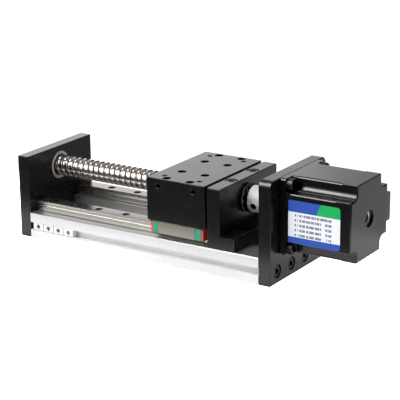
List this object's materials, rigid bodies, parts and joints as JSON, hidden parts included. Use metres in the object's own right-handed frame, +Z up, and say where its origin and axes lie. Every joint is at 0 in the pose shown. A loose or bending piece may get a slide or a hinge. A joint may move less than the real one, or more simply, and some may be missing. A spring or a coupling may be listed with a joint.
{
  "type": "ball screw linear module",
  "caption": "Motor-driven linear stage: a slide table on twin profile rails, moved by a ball screw along an aluminium extrusion base with end plates.",
  "frame": {"origin": "middle of the object's box on the plane of the base's underside", "axes": "+X along the screw towards the motor, +Y across the base away from the side with the slot nuts, +Z up"},
  "size_m": [0.2804, 0.08, 0.0772],
  "materials": {
    "anodised_silver": "clear anodised, fine drawn lines",
    "anodised_black": "black anodised, fine milled",
    "rail_steel": "ground steel",
    "screw_shaft_steel": "ground and rolled, bright",
    "bearing_steel": "polished",
    "nut_steel": "ground steel",
    "screw_steel": "black oxide",
    "bright_screw_steel": "zinc plated",
    "oxide_steel": "black oxide",
    "spring_steel": "blued",
    "bright_aluminium": "turned",
    "spider_rubber": "satin",
    "motor_black": "gloss black enamel",
    "motor_grey": "satin grey paint",
    "copper_winding": "enamelled copper wire",
    "connector_plastic": "moulded",
    "pin_brass": "plated",
    "label_film": "printed film with plain colour bands",
    "green_plastic": "moulded",
    "red_seal": "moulded seal lip",
    "wiper_plastic": "moulded"
  },
  "bodies": {
    "base": {"base_profile": "anodised_silver", "idle_end_plate": "anodised_black", "motor_plate": "anodised_black", "bearing_block": "anodised_black", "rail_front": "rail_steel", "rail_back": "rail_steel", "rail_screws": "screw_steel", "idle_plate_screws": "screw_steel", "motor_plate_screws": "screw_steel", "bearing_block_wall_screws": "screw_steel", "bearing_block_foot_screws": "screw_steel", "idle_bearing_outer_ring": "bearing_steel", "idle_bearing_balls": "bearing_steel", "idle_bearing_shields": "bearing_steel", "fixed_bearing_outer_rings": "bearing_steel", "fixed_bearing_balls": "bearing_steel", "motor_front_flange": "motor_black", "motor_stator": "motor_black", "motor_windings": "copper_winding", "motor_rear_cap": "motor_grey", "motor_bearing_outer_rings": "bearing_steel", "motor_bearing_balls": "bearing_steel", "motor_wave_washer": "spring_steel", "motor_through_screws": "screw_steel", "motor_mount_screws": "bright_screw_steel", "motor_connector": "connector_plastic", "motor_connector_pins": "pin_brass", "motor_label": "label_film"},
    "screw": {"ball_screw": "screw_shaft_steel", "idle_bearing_inner_ring": "bearing_steel", "screw_end_clip": "spring_steel", "fixed_bearing_inner_rings": "bearing_steel", "clamp_spacer": "bearing_steel", "lock_nut": "oxide_steel", "coupling_hub_screw_side": "bright_aluminium", "coupling_hub_motor_side": "bright_aluminium", "coupling_spider": "spider_rubber", "coupling_set_screws": "oxide_steel", "motor_rotor_cores": "bearing_steel", "motor_rotor_magnet": "oxide_steel", "motor_shaft": "bearing_steel", "motor_bearing_inner_rings": "bearing_steel"},
    "table": {"slide_table": "anodised_black", "carriage_block_front": "rail_steel", "carriage_block_back": "rail_steel", "carriage_caps_front": "green_plastic", "carriage_caps_back": "green_plastic", "carriage_seals_front": "red_seal", "carriage_seals_back": "red_seal", "carriage_balls_front": "bearing_steel", "carriage_balls_back": "bearing_steel", "carriage_screws": "screw_steel", "ball_nut": "nut_steel", "ball_nut_screws": "screw_steel", "ball_nut_balls": "bearing_steel", "ball_nut_wipers": "wiper_plastic"},
    "slot_nuts": {"slot_nuts": "bright_screw_steel"}
  },
  "joints": [
    {"name": "screw_spin", "type": "hinge", "parent": "base", "child": "screw", "pos_m": [0, 0, 0.049], "axis": [1, 0, 0], "range_deg": [-72, 7560]},
    {"name": "table_slide", "type": "slide", "parent": "base", "child": "table", "axis": [1, 0, 0], "range_m": [-0.10501, 0.00101]},
    {"name": "slot_nuts_slide", "type": "slide", "parent": "base", "child": "slot_nuts", "axis": [1, 0, 0], "range_m": [-0.0015, 0.155]}
  ],
  "couplings": [
    {"joint": "table_slide", "follows": "screw_spin", "m_per_rad": -0.00079577}
  ]
}
